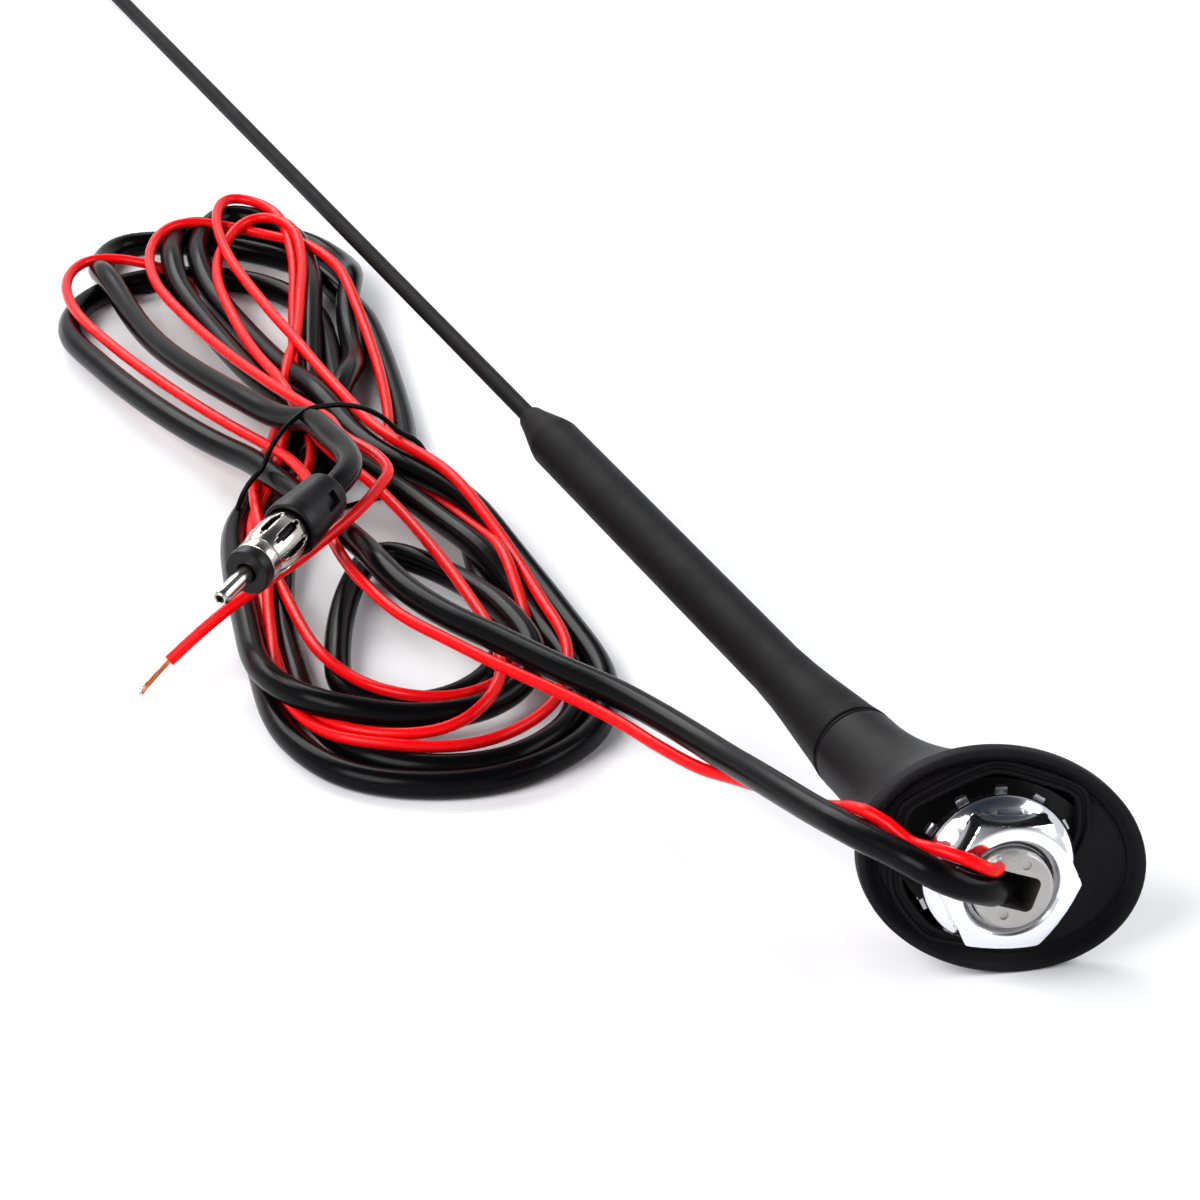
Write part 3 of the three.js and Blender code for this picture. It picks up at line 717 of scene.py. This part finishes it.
def make_gasket():
    """The rubber pad under the foot: a lip, a ridge, a land, and a cut-out with a double rim."""
    outer = [(0.8, 3.5), (0.15, 3.35), (0.05, 2.8), (0, 1.0), (0.1, 0.35), (0.4, 0.05), (0.9, 0)]
    outer += [(1.3, 0.2), (2.0, 1.1), (2.75, 2.2), (2.95, 2.3), (3.1, 2.05), (3.3, 1.95)]
    outer += [(3.5, 2.05), (3.62, 2.4), (3.8, 2.5)]
    rim = [(3.0, 2.5), (2.7, 2.35), (2.6, 1.75), (2.4, 1.6), (2.0, 1.6), (1.8, 1.75), (1.7, 2.2)]
    rim += [(1.5, 2.3), (1.2, 2.3), (1.0, 2.2), (0.9, 1.75), (0.7, 1.6), (0.3, 1.6), (0.1, 1.75)]
    rim += [(0, 2.2), (0, 3.5)]
    rows = [gasket_ring(inset, z) for inset, z in outer]
    rows += [gasket_ring(inset, z, from_cut_out=True) for inset, z in rim]
    body = loft(rows + rows[:1])
    add_piece("gasket_pad", body, FOOT_FRAME, "gasket_rubber", "base", ["base_gasket"], 50)


# ---------------------------------------------------------------- stud, washer and nut
STUD_RADIUS, STUD_END = 7, -13.2
THREAD_PITCH, THREAD_DEPTH = 1.5, 0.5
THREAD_STEP = 0.15
SLOT_HALF, SLOT_RIGHT = 3.1, 4.2
SIDE_SLOT_TOP = -3.2
MARK_RADIUS, MARK_DEPTH = 0.85, 0.35
PAST_END = -20  # cutters reach this far below the stud


def slot_prism(low, high, half, right, left, corner=1.3, steps=7):
    """A closed prism along z, whose section is a slot with round corners at its right end."""
    turn = np.linspace(0, math.pi / 2, steps)
    x = right - corner + corner * np.sin(turn)
    y = half - corner + corner * np.cos(turn)
    section = [(left, half), *zip(x, y), *zip(x[::-1], -y[::-1]), (left, -half)]
    body = loft([[(a, b, z) for a, b in section] for z in (low, high)])
    for z in (low, high):
        body.faces.new([v for v in body.verts if abs(v.co.z - z) < 1e-6])
    return body


def make_stud():
    """The threaded stud, slotted along for the leads, with two ejector marks on its end."""
    sides = 72
    rows = [circle(0, STUD_END, sides), circle(6.3, STUD_END, sides)]
    for z in np.arange(STUD_END + THREAD_STEP, 6, THREAD_STEP):
        row = []
        for i in range(sides):
            angle = 2 * math.pi * i / sides
            wave = abs(((z / THREAD_PITCH - i / sides) % 1) * 2 - 1)
            radius = min(STUD_RADIUS - THREAD_DEPTH * wave, 6.4 + (z - STUD_END) * 1.2)
            row.append((radius * math.cos(angle), radius * math.sin(angle), z))
        rows.append(row)
    head = [(6.5, 6.3), (9.2, 6.6), (9.5, 6.9), (9.5, 8.4), (9.2, 8.7), (0, 8.7)]
    rows += [circle(radius, z, sides) for radius, z in head]
    marks = []
    for x, y in ((0.5, -4.9), (-0.2, 4.5)):
        top = STUD_END + MARK_DEPTH
        mark = turned([(0, -14), (MARK_RADIUS, -14), (MARK_RADIUS, top), (0, top)], 24)
        mark.transform(Matrix.Translation((x, y, 0)))
        marks.append(mark)
    slot = slot_prism(PAST_END, 12, SLOT_HALF, SLOT_RIGHT, -SLOT_RIGHT)
    side = slot_prism(PAST_END, SIDE_SLOT_TOP, SLOT_HALF, 0, -12)
    stud = carved(loft(rows), slot, side, *marks)
    add_piece("stud_thread", stud, FOOT_FRAME, "zinc", "base", ["mounting_stud"], 30)


CLAWS = 12
CLAW_PHASE = 0.25  # the first claw's angle


def make_washer():
    """The ring under the nut, with claws that bite the roof."""
    ring = [(7.3, -2.1), (12.3, -2.1), (12.5, -1.9), (12.4, -0.7), (7.3, -0.7), (7.3, -2.1)]
    body = turned(rounded(ring, 0.15), 96)
    foot = [(12, -1.2), (14, -1), (14, 1), (12, 1.2)]
    edge = [(13.1, -0.6), (14, -0.5), (14, 0.5), (13.1, 0.6)]
    levels = [(foot, -1.95), (foot, -1.4), (edge, -0.75)]
    for i in range(CLAWS):
        spin = Matrix.Rotation(i * 2 * math.pi / CLAWS + CLAW_PHASE, 4, "Z")
        claw = [[spin @ Vector((x, y, z)) for x, y in section] for section, z in levels]
        loft(claw, body)
    bmesh.ops.holes_fill(body, edges=[e for e in body.edges if e.is_boundary], sides=4)
    add_piece("claw_ring", body, FOOT_FRAME, "steel", "washer", ["claw_washer"], 30)


NUT_APOTHEM, NUT_CORNER, NUT_BORE, NUT_TOP = 11, 12.6, 7.15, -12.1
NUT_PHASE = math.radians(-14)  # a corner's angle
NUT_SIDES = 144


def nut_ring(z, least=0.0, most=99.0, hexagonal=True, teeth=0.0):
    """A ring of the nut: the hexagon kept between two radii, or a plain circle with teeth."""
    ring = []
    for i in range(NUT_SIDES):
        angle = NUT_PHASE + 2 * math.pi * i / NUT_SIDES
        from_flat = (2 * math.pi * i / NUT_SIDES) % (math.pi / 3) - math.pi / 6
        radius = min(NUT_APOTHEM / math.cos(from_flat), NUT_CORNER) if hexagonal else most
        radius = max(least, min(most, radius))
        rise = teeth * (i % 3 == 0)
        ring.append((radius * math.cos(angle), radius * math.sin(angle), z + rise))
    return ring


def make_nut():
    """The chromed flange nut: chamfered hexagon, countersunk mouth and serrated flange."""
    rows = [nut_ring(z, most=NUT_BORE, hexagonal=False) for z in (-2.6, -6, -10.7)]
    mouth = [(7.3, -10.85), (8.45, NUT_TOP + 0.15), (8.65, NUT_TOP + 0.02), (8.9, NUT_TOP)]
    rows += [nut_ring(z, most=r, hexagonal=False) for r, z in mouth]
    rows += [nut_ring(NUT_TOP, most=r) for r in (10.1, 10.5)]
    for t in np.linspace(0, 1, 12):
        rows.append(nut_ring(NUT_TOP + 0.05 + 1.6 * t, most=10.7 + 2.3 * t))
    rows += [nut_ring(z) for z in (-9.8, -8.5, -7.4)]
    rows += [nut_ring(z, least=r) for r, z in ((10.9, -6.9), (11.4, -6.5), (12.0, -6.1))]
    flange = [(12.7, -5.5), (13.2, -4.8), (13.45, -4.2), (13.5, -3.7), (13.4, -3.3)]
    rows += [nut_ring(z, most=r, hexagonal=False) for r, z in flange]
    rows.append(nut_ring(-2.9, most=13.25, hexagonal=False, teeth=0.4))
    rows.append(nut_ring(-2.8, most=10.5, hexagonal=False, teeth=0.3))
    rows.append(rows[0])
    add_piece("hexagon_nut", loft(rows), FOOT_FRAME, "chrome", "nut", ["flange_nut"], 24)


# ---------------------------------------------------------------- antenna plug
PLUG_SLOT_ANGLE = -60  # the sleeve's slot, degrees about the plug's axis
PIN_SEAM = 60  # where the rolled pin's edges meet, degrees
SLEEVE_RADIUS = 4.9  # of the sleeve's skin beside its slot
SLOT_DEPTH = 0.22  # of the sleeve's slot, as a share of its radius
PETALS, PETAL_COLUMNS = 8, 9


def shell_grid(profile, sides, keep):
    """An open turned skin that keeps only the quads keep(row, column) allows."""
    body = turned(profile, sides)
    spare = [f for i, f in enumerate(body.faces) if not keep(i // sides, i % sides)]
    bmesh.ops.delete(body, geom=spare, context="FACES")
    return body


def thicken(obj, thickness, rounding):
    """Gives an open skin its wall and soft edges."""
    solid = obj.modifiers.new("wall", "SOLIDIFY")
    solid.thickness = thickness
    solid.offset = -1
    soft = obj.modifiers.new("soft", "BEVEL")
    soft.width = rounding
    soft.segments = 2


def make_plug_sleeve():
    """The moulded sleeve over the cord's end, with a small slot in its side."""
    skin = [(3.1, 0.9), (3.1, 0), (4.5, 0), (4.8, 0.5), (4.95, 3), (5.05, 5), (5.25, 7.2)]
    skin += [(5.6, 10.8), (5.7, 11.4), (5.7, 13.9), (5.5, 14.3), (4.9, 14.3), (4.8, 13.9)]
    skin += [(4.8, 11.2), (2.7, 11)]
    sides = 64
    body = turned(rounded(skin, 0.25, 3), sides)

    def in_slot(face):
        middle = face.calc_center_median()
        angle = math.degrees(math.atan2(middle.y, middle.x)) - PLUG_SLOT_ANGLE
        near = abs((angle + 180) % 360 - 180) < 17
        return near and 3 < middle.z < 7 and middle.xy.length > SLEEVE_RADIUS

    pocket = [f for f in body.faces if in_slot(f)]
    moved = bmesh.ops.extrude_face_region(body, geom=pocket)
    bmesh.ops.delete(body, geom=pocket, context="FACES")
    for vertex in moved["geom"]:
        if isinstance(vertex, bmesh.types.BMVert):
            vertex.co.xy *= 1 - SLOT_DEPTH
    return add_piece(
        "sleeve_black", body, PLUG_FRAME, "component_black", "base", ["plug_sleeve"], 30
    )


def make_plug():
    """The plug's pieces from back to front: sleeve, sprung petals, collar, insulator and pin."""
    sleeve = make_plug_sleeve()

    petals = [(4.35, 11.6), (4.35, 14.4), (4.5, 15.2), (4.75, 16.6), (4.98, 18.2), (5.08, 19.8)]
    petals += [(5.06, 21), (4.9, 22.4), (4.65, 23.6), (4.45, 24.2), (4.4, 24.8)]

    def keep(row, column):
        """False in the slots between the petals, which are wider in their middle rows."""
        place = column % PETAL_COLUMNS
        in_slot = 2 <= row <= 7 and place < 2
        in_wide_slot = 3 <= row <= 6 and place in (2, PETAL_COLUMNS - 1)
        return not in_slot and not in_wide_slot

    body = shell_grid(petals, PETALS * PETAL_COLUMNS, keep)
    contact = add_piece("petal_contact", body, PLUG_FRAME, "nickel", "base", ["plug_contact"])
    thicken(contact, 0.45 * MM, 0.06 * MM)

    inner = turned([(3.2, 12), (3.2, 24.6), (3.0, 24.8), (2.9, 24.8), (2.9, 12)], 40)
    core = add_piece("contact_core", inner, PLUG_FRAME, "component_black", "base")

    ring = [(3.0, 25), (4.5, 25), (4.5, 27.5), (3.0, 27.5), (3.0, 25)]
    ring = turned(rounded(ring, 0.3), 56)
    collar = add_piece("collar_ring", ring, PLUG_FRAME, "nickel", "base", ["plug_collar"])

    disc = [(1.95, 23.6), (2.7, 23.6), (2.7, 27.8), (4.6, 27.8), (4.6, 30.4), (1.95, 30.4)]
    disc = turned(rounded(disc + [(1.95, 23.6)], 0.4), 56)
    insulator = add_piece(
        "insulator_disc", disc, PLUG_FRAME, "component_black", "base", ["plug_insulator"]
    )

    sides = 40
    wall = [(1.65, 13.5), (1.65, 20), (1.65, 27), (1.65, 33), (1.65, 38.2), (1.6, 39.2)]
    wall += [(1.4, 39.9), (1.05, 40.25)]
    seam = PIN_SEAM * sides // 360

    def off_seam(row, column):
        return column not in (seam, seam + 1)

    rolled = shell_grid(wall, sides, off_seam)
    pin = add_piece("rolled_pin", rolled, PLUG_FRAME, "nickel", "base", ["plug_pin"])
    thicken(pin, 0.35 * MM, 0.05 * MM)
    return [sleeve, contact, core, collar, insulator, pin]


# ---------------------------------------------------------------- what stays as the CAD made it
def dress_cad_nodes():
    """Finishes, and softened edges, for the nodes that keep their CAD mesh."""
    kept = {
        "base_casting": "component_black",
        "casting_screw_a": "steel",
        "casting_screw_b": "steel",
        "amplifier_board": "board_green",
        "amplifier_transistor": "component_black",
        "amplifier_capacitor": "steel",
        "amplifier_coil": "copper",
        "contact_strip": "brass",
        "neck_insulator": "component_black",
        "mast_socket": "brass",
        "mast_screw_insert": "brass",
        "mast_core": "steel",
    }
    for name, slot in kept.items():
        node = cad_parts[name]
        node.data.materials.clear()
        node.data.materials.append(FINISHES[slot])
        edge = node.modifiers.new("edge", "BEVEL")
        edge.width = 0.15 * MM
        edge.segments = 2
        edge.limit_method = "ANGLE"


make_mast()
make_shell()
make_gasket()
make_stud()
make_washer()
make_nut()
dress_cad_nodes()
plug_pieces = make_plug()
tie_pieces = make_tie()
strands = make_strands()


# ---------------------------------------------------------------- table and light
def make_floor():
    mesh = bpy.data.meshes.new("floor")
    half = 6
    corners = [(-half, -half, 0), (half, -half, 0), (half, half, 0), (-half, half, 0)]
    mesh.from_pydata(corners, [], [(0, 1, 2, 3)])
    floor = bpy.data.objects.new("floor", mesh)
    bpy.context.scene.collection.objects.link(floor)
    paint = finish_of("floor_paint", (0.9, 0.9, 0.91), rough=0.6, grain=200, relief=0, drift=0.01)
    mesh.materials.append(paint)


def area_light(name, place, target, size, power, colour=(1, 1, 1)):
    data = bpy.data.lights.new(name, "AREA")
    data.shape = "RECTANGLE"
    data.size, data.size_y = size
    data.energy = power
    data.color = colour
    light = bpy.data.objects.new(name, data)
    light.location = place
    aim = Vector(target) - Vector(place)
    light.rotation_euler = aim.to_track_quat("-Z", "Y").to_euler()
    bpy.context.scene.collection.objects.link(light)


def make_sky():
    """A soft white surround that darkens overhead, so that polished metal has contrast."""
    world = bpy.data.worlds.new("studio")
    bpy.context.scene.world = world
    world.use_nodes = True
    nodes = world.node_tree.nodes
    links = world.node_tree.links
    place = nodes.new("ShaderNodeTexCoord")
    split = nodes.new("ShaderNodeSeparateXYZ")
    links.new(place.outputs["Generated"], split.inputs["Vector"])
    ramp = nodes.new("ShaderNodeValToRGB")
    stops = ramp.color_ramp.elements
    stops[0].position, stops[0].color = 0, (0.9, 0.9, 0.92, 1)
    stops[1].position, stops[1].color = 1, (0.03, 0.04, 0.06, 1)
    for position, grey in ((0.35, 0.9), (0.6, 0.5), (0.8, 0.1)):
        stops.new(position).color = (grey, grey, grey * 1.04, 1)
    links.new(split.outputs["Z"], ramp.inputs["Fac"])
    links.new(ramp.outputs["Color"], nodes["Background"].inputs["Color"])
    nodes["Background"].inputs["Strength"].default_value = 0.9


make_floor()
make_sky()
area_light("key", (-0.6, 1.3, 1.1), (-0.1, 0.03, 0), (1.2, 0.9), 32)
area_light("fill", (-0.6, -1.3, 0.9), (-0.1, 0.0, 0), (1.2, 0.8), 15, (0.95, 0.96, 1))
area_light("back", (1.3, 0.3, 1.1), (-0.05, 0.03, 0), (1.3, 0.8), 22)
bpy.context.scene.view_settings.view_transform = "Standard"
